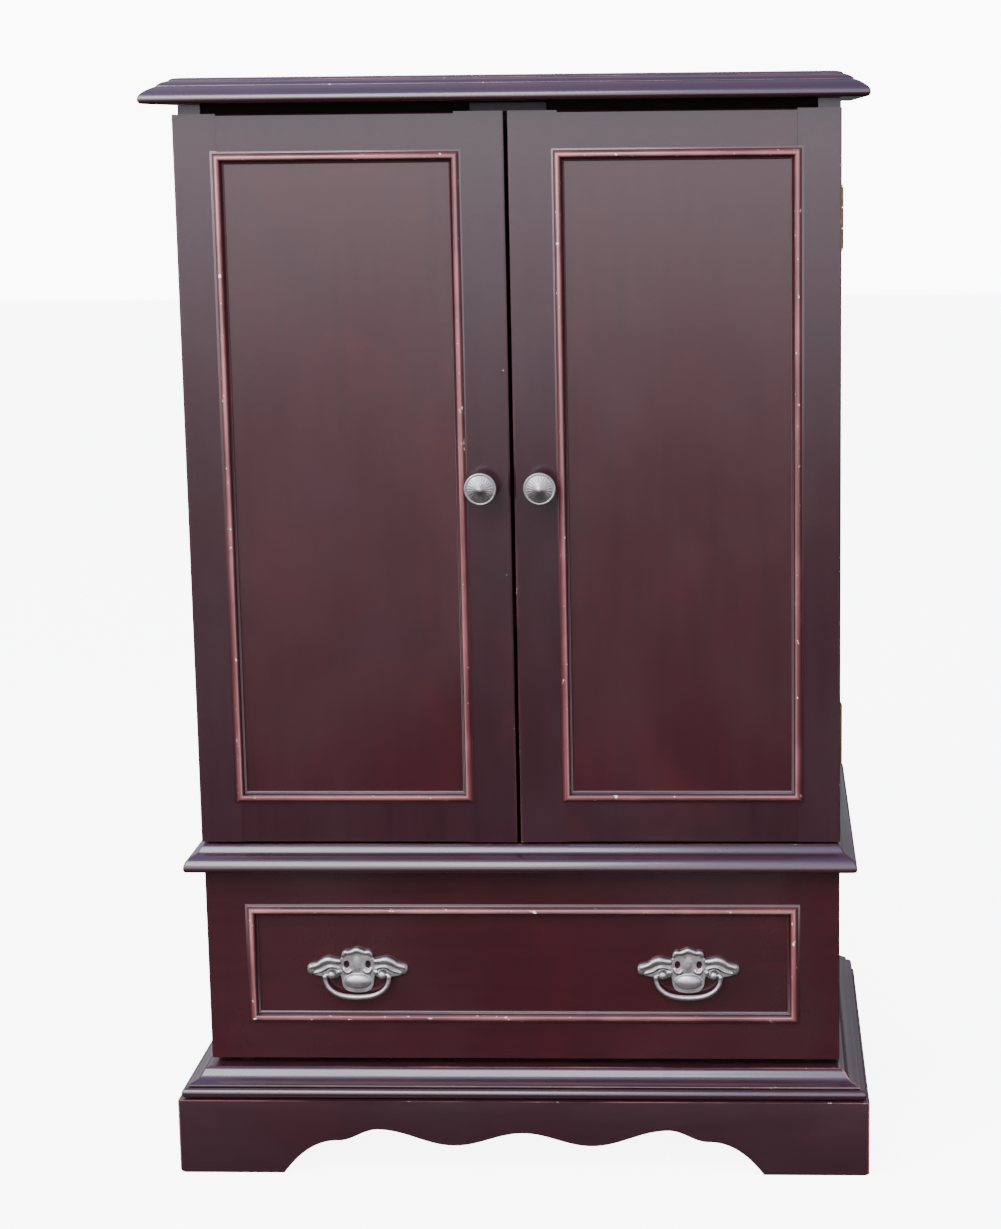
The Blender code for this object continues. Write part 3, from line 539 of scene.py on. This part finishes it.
def make_bottom():
    """Beaded bottom board, thicker between the case sides to carry the drawer."""
    side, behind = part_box("lower_side_right"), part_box("back_panel")
    low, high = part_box("bottom_board")
    runner = ((-side[0].x, side[0].y, side[0].z - 0.0004), (side[0].x, behind[0].y, high.z))
    moulded_board("bottom_board", BEAD_EDGE, "X", [runner])


def ogee_run(node, side, grain):
    """One mitred length of the ogee at the foot of the case; side 0 is the front."""
    low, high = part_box(node)
    front_low, front_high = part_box("base_moulding_front")
    ends = ([], [])
    for inset, up in spline(OGEE, 4):
        x, y, z = front_high.x - inset, front_low.y + inset, low.z + up
        if side:
            ends[0].append((side * x, y + 0.0002, z))
            ends[1].append((side * x, high.y, z))
        else:
            ends[0].append((-x + 0.0002, y, z))
            ends[1].append((x - 0.0002, y, z))
    meshes = [finish_mesh(loft(ends), node)]
    if not side:
        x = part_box("lower_side_right")[1].x
        meshes.append(block((-x, low.y + 0.0120, low.z), (x, high.y, low.z + OGEE[-1][1])))
    obj = joined(node + "_ogee", meshes, 32)
    return shown(obj, "cabinet", "mahogany", wood(node, grain, "mahogany", 0.26, 0.9), node)


def panel_bead(node, body, grain):
    """Mitred bead round a panel, rubbed red along its crest."""
    low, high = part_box(node)
    face = low.y + max(v for u, v, w in RING)
    profile = spline(RING[:RING_SHOWN], 2) + [Vector(p) for p in RING[RING_SHOWN:]]
    loops = []
    for u, v, w in profile:
        x0, x1, z0, z1 = low.x + u, high.x - u, low.z + u, high.z - u
        loops.append([(x0, face - v, z0), (x1, face - v, z0), (x1, face - v, z1), (x0, face - v, z1)])
    bm = loft(loops, closed=True)
    bm.verts.ensure_lookup_table()
    worn = bm.verts.layers.float.new("wear")
    for i, vert in enumerate(bm.verts):
        vert[worn] = max(0.0, profile[i // 4][2])
    obj = new_object(node + "_bead", finish_mesh(bm, node), 40)
    return shown(obj, body, "mahogany", wood(node, grain, "panel", 0.30, 0.85, ring=True), node)


def foot_curve(steps):
    """Inner side of a foot, from its shoulder to the floor: (run, height)."""
    rise = APRON_WAVES[-1][1]
    return [(FOOT_RUN * i / steps, rise * (1 - (i / steps) ** FOOT_POWER)) for i in range(steps + 1)]


def scallop_half(steps=14):
    """Lower edge of the apron from its middle to a foot."""
    points = []
    for (x0, z0), (x1, z1) in zip(APRON_WAVES, APRON_WAVES[1:]):
        for i in range(steps):
            t = i / steps
            points.append((x0 + (x1 - x0) * t, z0 + (z1 - z0) * (1 - math.cos(math.pi * t)) / 2))
    start = APRON_WAVES[-1][0]
    return points + [(start + run, z) for run, z in foot_curve(14)]


def toe_corner(x):
    """Rounded outer bottom corner of a foot, from the floor up its side."""
    r = FOOT_CORNER_R
    angles = [math.pi / 2 * i / 4 for i in range(5)]
    return [(x - r + r * math.sin(a), r - r * math.cos(a)) for a in angles]


def weigh_edges(mesh, weight_of):
    """Bevel weight of each edge from its two ends."""
    layer = mesh.attributes.new("bevel_weight_edge", "FLOAT", "EDGE")
    for i, edge in enumerate(mesh.edges):
        a, b = (mesh.vertices[v].co for v in edge.vertices)
        layer.data[i].value = weight_of(a, b)


def dissolve_flat(mesh):
    bm = bmesh.new()
    bm.from_mesh(mesh)
    bmesh.ops.dissolve_limit(bm, angle_limit=math.radians(0.5), verts=bm.verts, edges=bm.edges)
    bm.to_mesh(mesh)
    bm.free()


def cut_mitre(mesh, corner, normal):
    bm = bmesh.new()
    bm.from_mesh(mesh)
    bmesh.ops.bisect_plane(bm, geom=bm.verts[:] + bm.edges[:] + bm.faces[:], plane_co=corner,
                           plane_no=normal, clear_outer=True)
    bmesh.ops.holes_fill(bm, edges=[edge for edge in bm.edges if edge.is_boundary])
    bmesh.ops.recalc_face_normals(bm, faces=bm.faces)
    bm.to_mesh(mesh)
    bm.free()


def plinth_board(node, mesh, outer_axis, outer_at, grain, mitres=()):
    """Apron or end board: outline already pushed through, then mitred and eased on its outer arrises."""
    dissolve_flat(mesh)
    for corner, normal in mitres:
        cut_mitre(mesh, corner, normal)
    top = max(v.co.z for v in mesh.vertices)

    def weight(a, b):
        on_face = abs(a[outer_axis] - outer_at) < 1e-5 and abs(b[outer_axis] - outer_at) < 1e-5
        upright = abs(a.x - b.x) < 1e-4 and abs(a.y - b.y) < 1e-4
        if not on_face or upright:
            return 0.0
        return 1.0 if min(a.z, b.z) > top - 1e-4 else 0.35

    weigh_edges(mesh, weight)
    obj = new_object(node + "_board", mesh)
    ease = obj.modifiers.new("eased", "BEVEL")
    ease.limit_method = "WEIGHT"
    ease.width = 0.0026
    ease.segments = 4
    ease.use_clamp_overlap = False
    evaluated(obj)
    obj.data.shade_smooth()
    obj.data.set_sharp_from_angle(angle=math.radians(32))
    return shown(obj, "cabinet", "mahogany", wood(node, grain, "mahogany", 0.32, 1.0), node)


def make_plinth():
    low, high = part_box("plinth_front")
    right = scallop_half()
    left = [(-x, z) for x, z in reversed(right[1:])]
    toe = toe_corner(high.x)
    toe_left = [(-x, z) for x, z in reversed(toe)]
    outline = toe_left + left + right + toe + [(high.x, high.z), (-high.x, high.z)]
    mitres = [(Vector((side * high.x, low.y, 0)), Vector((side, 1, 0)).normalized()) for side, _ in SIDES]
    plinth_board("plinth_front", prism([outline], low.y, high.y), 1, low.y, "X", mitres)
    for side, word in SIDES:
        make_plinth_end(side, "plinth_" + word, low)


def make_plinth_end(side, node, front_low):
    """End board with a bracket foot at the front and back; its outline runs along y."""
    low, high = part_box(node)
    reach = SIDE_FOOT + FOOT_RUN
    near = [(low.y + reach - run, z) for run, z in reversed(foot_curve(14))]
    far = [(high.y - reach + run, z) for run, z in foot_curve(14)]
    toe = [(low.y + high.y - y, z) for y, z in reversed(toe_corner(high.y))]
    outline = toe + near + far + [(high.y, 0.0), (high.y, high.z), (low.y, high.z)]
    mesh = prism([outline], low.x, high.x)
    mesh.transform(Matrix(((0, 1, 0, 0), (1, 0, 0, 0), (0, 0, 1, 0), (0, 0, 0, 1))))
    mesh.flip_normals()
    outer = high.x if side > 0 else low.x
    corner = Vector((outer, front_low.y + 0.0002, 0))
    normal = -Vector((side, 1, 0)).normalized()
    plinth_board(node, mesh, 0, outer, "Y", [(corner, normal)])


# ---------------------------------------------------------------- cast hardware

def blob(centre, size):
    """Ellipsoid: centre and half sizes across, out and up."""
    bm = bmesh.new()
    bmesh.ops.create_uvsphere(bm, u_segments=20, v_segments=12, radius=1.0,
                              matrix=Matrix.Translation(centre) @ Matrix.Diagonal((*size, 1.0)))
    mesh = bpy.data.meshes.new("blob")
    bm.to_mesh(mesh)
    bm.free()
    return mesh


def fused(obj, voxel, keep):
    """Melt overlapping shapes into one cast skin."""
    remesh = obj.modifiers.new("cast", "REMESH")
    remesh.mode = "VOXEL"
    remesh.voxel_size = voxel
    soften = obj.modifiers.new("soften", "SMOOTH")
    soften.factor = 0.5
    soften.iterations = 3
    thin = obj.modifiers.new("thin", "DECIMATE")
    thin.ratio = keep
    evaluated(obj)
    obj.data.shade_smooth()
    return obj


def plate_reliefs():
    """Raised work of the pull's plate, as wires and ellipsoids about the pivot: across, out, up."""
    half = ((0.0028, -0.0016, 0.0148, 1.1), (0.0054, -0.0015, 0.0140, 1.0), (0.0080, -0.0015, 0.0140, 1.1),
            (0.0094, -0.0013, 0.0116, 0.8))
    crown = [(-u, *rest) for u, *rest in reversed(half)] + [(0.0, -0.0017, 0.0158, 1.1), *half]
    wires = [[tuple(p) for p in spline(crown, 4)]]
    blobs = [((0, -0.0008, -0.0052), (0.0092, 0.0038, 0.0052)),
             ((0, -0.0006, -0.0100), (0.0084, 0.0014, 0.0032)),
             ((0, -0.0004, 0.0060), (0.0044, 0.0016, 0.0085))]
    for s in (-1, 1):
        top = ((0.0108, 0.0082, 1.1), (0.0150, 0.0086, 1.3), (0.0188, 0.0092, 1.5), (0.0224, 0.0080, 1.4),
               (0.0258, 0.0058, 1.2), (0.0290, 0.0048, 1.2), (0.0312, 0.0040, 1.2))
        vein = ((0.0118, 0.0030, 0.5), (0.0152, 0.0044, 0.7), (0.0192, 0.0042, 0.7), (0.0228, 0.0020, 0.6),
                (0.0262, 0.0008, 0.5), (0.0290, 0.0004, 0.4))
        curl = ((0.0090, 0.0034, 0.5), (0.0078, 0.0012, 0.8), (0.0056, 0.0008, 0.8), (0.0042, 0.0022, 0.5))
        for path in (top, vein, curl):
            wires.append([(s * u, -0.0016, v, share) for u, v, share in spline(path, 5)])
        blobs += [((s * 0.0303, -0.0010, 0.0030), (0.0027, 0.0019, 0.0036)),
                  ((s * 0.0165, -0.0016, -0.0002), (0.0033, 0.0019, 0.0031)),
                  ((s * 0.0122, -0.0013, 0.0008), (0.0019, 0.0014, 0.0017)),
                  ((s * 0.0178, -0.0007, 0.0068), (0.0075, 0.0012, 0.0032))]
    return wires, blobs


def make_pull(word):
    low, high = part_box("pull_plate_" + word)
    pivot = next(j["pos_m"] for j in frame["joints"] if j["name"] == "bail_" + word + "_pivot")
    back = high.y
    right = [Vector(p) for p in PLATE]
    outline = right + [Vector((-u, v)) for u, v in reversed(PLATE[1:-1])]
    rim = [tuple(p) for p in spline(outline + [outline[0]], 4)[:-1]]
    u, v, wide, tall = PIERCING
    turn = [math.tau * i / 20 for i in range(20)]
    holes = [[(s * u + wide * math.cos(a), v + tall * math.sin(a)) for a in turn] for s in (-1, 1)]
    meshes = [prism([rim] + holes, -0.0016, 0.0)]
    wires, blobs = plate_reliefs()
    tube = curve_object("reliefs", wires, 0.0014)
    meshes.append(tube.data)
    bpy.data.objects.remove(tube)
    meshes += [blob(centre, size) for centre, size in blobs]
    post_out = back - low.y
    post_at, post_r = 0.0165, 0.0024
    for s in (-1, 1):
        meshes.append(blob((s * post_at, -post_out + 0.0016, 0.0), (0.0025, 0.0017, 0.0025)))
        stem = bmesh.new()
        bmesh.ops.create_cone(stem, cap_ends=True, segments=28, radius1=post_r, radius2=post_r,
                              depth=post_out - 0.0016,
                              matrix=Matrix.Translation((s * post_at, -(post_out - 0.0016) / 2, 0.0))
                              @ Matrix.Rotation(math.pi / 2, 4, "X"))
        meshes.append(finish_mesh(stem, "stem"))
    plate = fused(joined("pull_plate_" + word + "_cast", meshes), 0.00030, 0.45)
    plate.data.transform(Matrix.Translation((pivot[0], back, pivot[2])))
    metal = pewter("pewter_" + word)
    shown(plate, "drawer", "pewter", metal, "pull_plate_" + word)

    half = spline(BAIL, 5)
    path = [(-u, 0.0, v, r) for u, v, r in half] + [(u, 0.0, v, r) for u, v, r in reversed(half[:-1])]
    bail = curve_object("pull_bail_" + word + "_cast", [path], BAIL_R, resolution=8)
    bail.data.shade_smooth()
    bail.data.transform(Matrix.Translation(pivot))
    shown(bail, "bail_" + word, "pewter", metal, "pull_bail_" + word)


def make_knob(word):
    """Turned knob: a faintly fluted, pointed face inside a rim, on a waisted neck."""
    node = "door_" + word + "_knob"
    low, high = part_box(node)
    axis = Vector(((low.x + high.x) / 2, frame_face(), (low.z + high.z) / 2))
    profile = spline(KNOB, 3)
    bm = bmesh.new()
    rings = []
    for r, h in profile[1:]:
        dish = max(0.0, min(1.0, (r - 0.0038) / 0.0012, (0.0082 - r) / 0.0010)) if h > 0.0172 else 0.0
        ring = []
        for k in range(KNOB_STEPS):
            a = math.tau * k / KNOB_STEPS
            lift = -0.00022 * dish * (1 + math.cos(KNOB_FLUTES * a)) / 2
            ring.append(bm.verts.new((r * math.cos(a), -h - lift, r * math.sin(a))))
        rings.append(ring)
    tip = bm.verts.new((0, -profile[0][1], 0))
    for k in range(KNOB_STEPS):
        bm.faces.new((tip, rings[0][k], rings[0][(k + 1) % KNOB_STEPS]))
    for inner, outer in zip(rings, rings[1:]):
        for k in range(KNOB_STEPS):
            j = (k + 1) % KNOB_STEPS
            bm.faces.new((inner[k], outer[k], outer[j], inner[j]))
    bm.faces.new(rings[-1])
    obj = new_object(node + "_turned", finish_mesh(bm, node), 50)
    obj.data.transform(Matrix.Translation(axis))
    shown(obj, "door_" + word, "pewter", pewter("pewter_knob_" + word, (0.20, 0.20, 0.185)), node)


def frame_face():
    """The plane of the doors' outer faces."""
    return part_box("door_left_stile_hinge")[0].y


# ---------------------------------------------------------------- velvet

def velvet_sheet(node, body):
    """Lining with rolled edges and a faintly uneven lie."""
    low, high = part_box(node)
    across, along = 72, 44
    thick = high.z - low.z
    roll = 0.0016
    bm = bmesh.new()
    grid = []
    for j in range(along + 1):
        row = []
        for i in range(across + 1):
            x = low.x + (high.x - low.x) * i / across
            y = low.y + (high.y - low.y) * j / along
            rim = min(x - low.x, high.x - x, y - low.y, high.y - y)
            drop = thick * 0.45 * max(0.0, 1 - rim / roll) ** 2
            wave = 0.00022 * noise.noise(Vector((x * 30, y * 30, number_of(node))))
            row.append(bm.verts.new((x, y, high.z - drop - 0.0002 + min(wave, 0.0002))))
        grid.append(row)
    for j in range(along):
        for i in range(across):
            bm.faces.new((grid[j][i], grid[j][i + 1], grid[j + 1][i + 1], grid[j + 1][i]))
    rim_edges = [edge for edge in bm.edges if edge.is_boundary]
    walls = bmesh.ops.extrude_edge_only(bm, edges=rim_edges)["geom"]
    for vert in (item for item in walls if isinstance(item, bmesh.types.BMVert)):
        vert.co.z = low.z
    bmesh.ops.holes_fill(bm, edges=[edge for edge in bm.edges if edge.is_boundary])
    obj = new_object(node + "_velvet", finish_mesh(bm, node), 60)
    shown(obj, body, "felt", velvet("velvet_" + node), node)


# ---------------------------------------------------------------- CAD nodes that stay

SWELL = 0.00028


def close_joints(obj, ease, grow):
    """Swell a board into its glue lines and ease its arrises."""
    weld = obj.modifiers.new("weld", "WELD")
    weld.merge_threshold = 0.00001
    if grow:
        swell = obj.modifiers.new("swell", "DISPLACE")
        swell.strength = grow
        swell.mid_level = 0.0
    if ease:
        bevel = obj.modifiers.new("eased", "BEVEL")
        bevel.width = ease
        bevel.segments = 3
        bevel.limit_method = "ANGLE"
        bevel.angle_limit = math.radians(40)


JOINED = ("_rail_", "_stile_meeting", "back_panel", "plinth_back")
EASED = ("drawer_front", "inner_shelf", "drawer_side", "drawer_back")
EASED_BY = 0.0008
STILE_WEAR = {"hinge": (0.2030, 0.2060), "meeting": (0.0, 0.0030)}


def wood_of(name):
    """Tone, grain, polish, wear and the reach of that wear for a wooden CAD node."""
    across = ("plinth_back", "drawer_front", "drawer_back", "drawer_bottom", "inner_shelf")
    grain = "X" if name in across else "Y" if name.startswith("drawer_side") else "Z"
    if name in ("back_panel", "inner_shelf"):
        return "inner", grain, 0.50, 0.3, None
    if name.startswith("drawer_") and name != "drawer_front":
        return "box", grain, 0.55, 0.2, None
    if name.endswith("_panel"):
        return "panel", grain, 0.20, 0.0, None
    if "_rail_" in name:
        return "mahogany", grain, 0.19, 0.0, None
    if "_stile_" in name:
        return "mahogany", grain, 0.19, 0.8, STILE_WEAR[name.rsplit("_", 1)[1]]
    if name == "drawer_front":
        return "panel", grain, 0.22, 0.5, (0.2030, 0.2060)
    return "mahogany", grain, 0.26, 0.6, None


def dress_cad_nodes():
    """Materials and eased edges for every CAD node that is still shown."""
    brass = plain_metal("dull_brass", (0.26, 0.18, 0.09), 0.38)
    steel = plain_metal("zinc_plate", (0.56, 0.56, 0.57), 0.30)
    black = plastic("catch_plastic")
    for name, obj in frame["nodes"].items():
        if obj.hide_render:
            continue
        obj.data.materials.clear()
        if name.startswith("hinge_") or name == "hook_strip":
            obj.data.materials.append(brass)
        elif "screw" in name or "strike" in name:
            obj.data.materials.append(steel)
        elif name == "magnet_catch":
            obj.data.materials.append(black)
        else:
            tone, grain, polish, wear, reach = wood_of(name)
            obj.data.materials.append(wood(name, grain, tone, polish, wear, reach=reach))
            grow = SWELL if any(key in name for key in JOINED) else 0.0
            ease = EASED_BY if name.startswith(EASED) else 0.0
            if grow or ease:
                close_joints(obj, ease, grow)


# ---------------------------------------------------------------- stage

def area_light(name, place, target, size, power, colour):
    light = bpy.data.lights.new(name, "AREA")
    light.shape = "RECTANGLE"
    light.size, light.size_y = size
    light.energy = power
    light.color = colour
    obj = bpy.data.objects.new(name, light)
    bpy.context.scene.collection.objects.link(obj)
    obj.location = place
    obj.rotation_euler = (Vector(target) - Vector(place)).to_track_quat("-Z", "Y").to_euler()
    return obj


STAGE_GLOW = 7.0
SKY_LOW = -0.5
SKY_STRENGTH = 3.0
SKY = ((-0.50, (0.02, 0.018, 0.018)), (-0.22, (0.03, 0.025, 0.025)), (-0.12, (0.12, 0.10, 0.105)),
       (-0.04, (0.58, 0.55, 0.58)), (0.02, (1.16, 1.12, 1.22)), (0.20, (1.05, 1.04, 1.20)),
       (0.55, (1.05, 1.05, 1.30)), (0.78, (0.55, 0.60, 1.00)), (1.00, (0.36, 0.42, 0.80)))
SKY_TOWARD = (-0.50, -0.85, 0.0)
SKY_BEHIND = 0.14
SKY_BEFORE = 1.15


def make_sky():
    """Pale haze at the horizon, bluer overhead, dark ground below it."""
    world = bpy.data.worlds.new("haze")
    bpy.context.scene.world = world
    world.use_nodes = True
    tree = world.node_tree
    shade = tree.nodes["Background"]
    where = tree.nodes.new("ShaderNodeTexCoord")
    split = tree.nodes.new("ShaderNodeSeparateXYZ")
    tree.links.new(where.outputs["Generated"], split.inputs[0])
    ramp = tree.nodes.new("ShaderNodeValToRGB")
    lift = tree.nodes.new("ShaderNodeMapRange")
    lift.inputs["From Min"].default_value = SKY_LOW
    lift.inputs["From Max"].default_value = 1.0
    tree.links.new(split.outputs["Z"], lift.inputs["Value"])
    tree.links.new(lift.outputs["Result"], ramp.inputs["Fac"])
    stops = [((height - SKY_LOW) / (1.0 - SKY_LOW), colour) for height, colour in SKY]
    ramp.color_ramp.elements[0].position = stops[0][0]
    ramp.color_ramp.elements[1].position = stops[-1][0]
    for position, _ in stops[1:-1]:
        ramp.color_ramp.elements.new(position)
    for element, (_, colour) in zip(ramp.color_ramp.elements, stops):
        element.color = (*colour, 1.0)
    tree.links.new(ramp.outputs["Color"], shade.inputs["Color"])
    facing = tree.nodes.new("ShaderNodeVectorMath")
    facing.operation = "DOT_PRODUCT"
    facing.inputs[1].default_value = SKY_TOWARD
    tree.links.new(where.outputs["Generated"], facing.inputs[0])
    dim = tree.nodes.new("ShaderNodeMapRange")
    dim.interpolation_type = "SMOOTHSTEP"
    for key, value in (("From Min", -0.9), ("From Max", 0.7), ("To Min", SKY_STRENGTH * SKY_BEHIND),
                       ("To Max", SKY_STRENGTH * SKY_BEFORE)):
        dim.inputs[key].default_value = value
    tree.links.new(facing.outputs["Value"], dim.inputs["Value"])
    tree.links.new(dim.outputs["Result"], shade.inputs["Strength"])


def glowing(name, scale, strength):
    """Pale stage material, lit from within so that it stays near white."""
    look = Look(name)
    mottle = look.noise(look.coords, scale, 3.0)
    look.set(Base_Color=look.mix(mottle, (0.80, 0.80, 0.80), (0.84, 0.84, 0.84)), Roughness=0.9,
             Emission_Color=(1.0, 1.0, 1.0, 1.0), Emission_Strength=strength)
    return look.material


def stage_piece(obj, material):
    """Floor or backdrop that neither lights the armoire nor shows in its lacquer."""
    obj.data.materials.append(material)
    obj.visible_glossy = False
    obj.visible_diffuse = False


def make_backdrop():
    """Bright sheet standing far behind."""
    bm = bmesh.new()
    bmesh.ops.create_grid(bm, x_segments=1, y_segments=1, size=16.0)
    sheet = new_object("backdrop", finish_mesh(bm, "backdrop"))
    sheet.rotation_euler = (math.radians(90), 0, 0)
    sheet.location.y = 9.0
    sheet.visible_shadow = False
    stage_piece(sheet, glowing("pale_backdrop", 0.4, STAGE_GLOW + 2.0))


def make_stage():
    bm = bmesh.new()
    bmesh.ops.create_circle(bm, cap_ends=True, segments=96, radius=14.0)
    floor = new_object("floor", finish_mesh(bm, "floor"))
    floor.location.z = CAD_BOX[0].z - 0.0002
    stage_piece(floor, glowing("pale_floor", 3.0, STAGE_GLOW))
    make_backdrop()
    make_sky()
    area_light("key", (-1.0, -2.0, 2.2), (0.0, 0.0, 0.35), (2.4, 1.9), 170.0, (0.97, 0.96, 1.0))


def make_camera():
    """Set back, a little to the right of the middle, and just under the height of the top."""
    data = bpy.data.cameras.new("camera")
    data.lens = 77.5
    data.sensor_width = 36.0
    data.shift_x = -0.1216
    camera = bpy.data.objects.new("camera", data)
    bpy.context.scene.collection.objects.link(camera)
    camera.location = (0.1515, -1.7553, 0.6663)
    turn = Matrix.Rotation(math.radians(2.32), 4, "Z")
    tilt = Matrix.Rotation(math.radians(90 - 10.40), 4, "X")
    roll = Matrix.Rotation(math.radians(-0.60), 4, "Z")
    camera.rotation_euler = (turn @ tilt @ roll).to_euler()
    bpy.context.scene.camera = camera


make_top()
moulded_board("waist_board", WAIST_EDGE, "X")
make_bottom()
ogee_run("base_moulding_front", 0, "X")
ogee_run("base_moulding_left", -1, "Y")
ogee_run("base_moulding_right", 1, "Y")
make_plinth()
for _, word in SIDES:
    panel_bead("door_" + word + "_moulding", "door_" + word, "Z")
    make_knob(word)
    make_pull(word)
panel_bead("drawer_moulding", "drawer", "X")
velvet_sheet("drawer_liner", "drawer")
velvet_sheet("shelf_liner", "cabinet")
dress_cad_nodes()
make_stage()
make_camera()
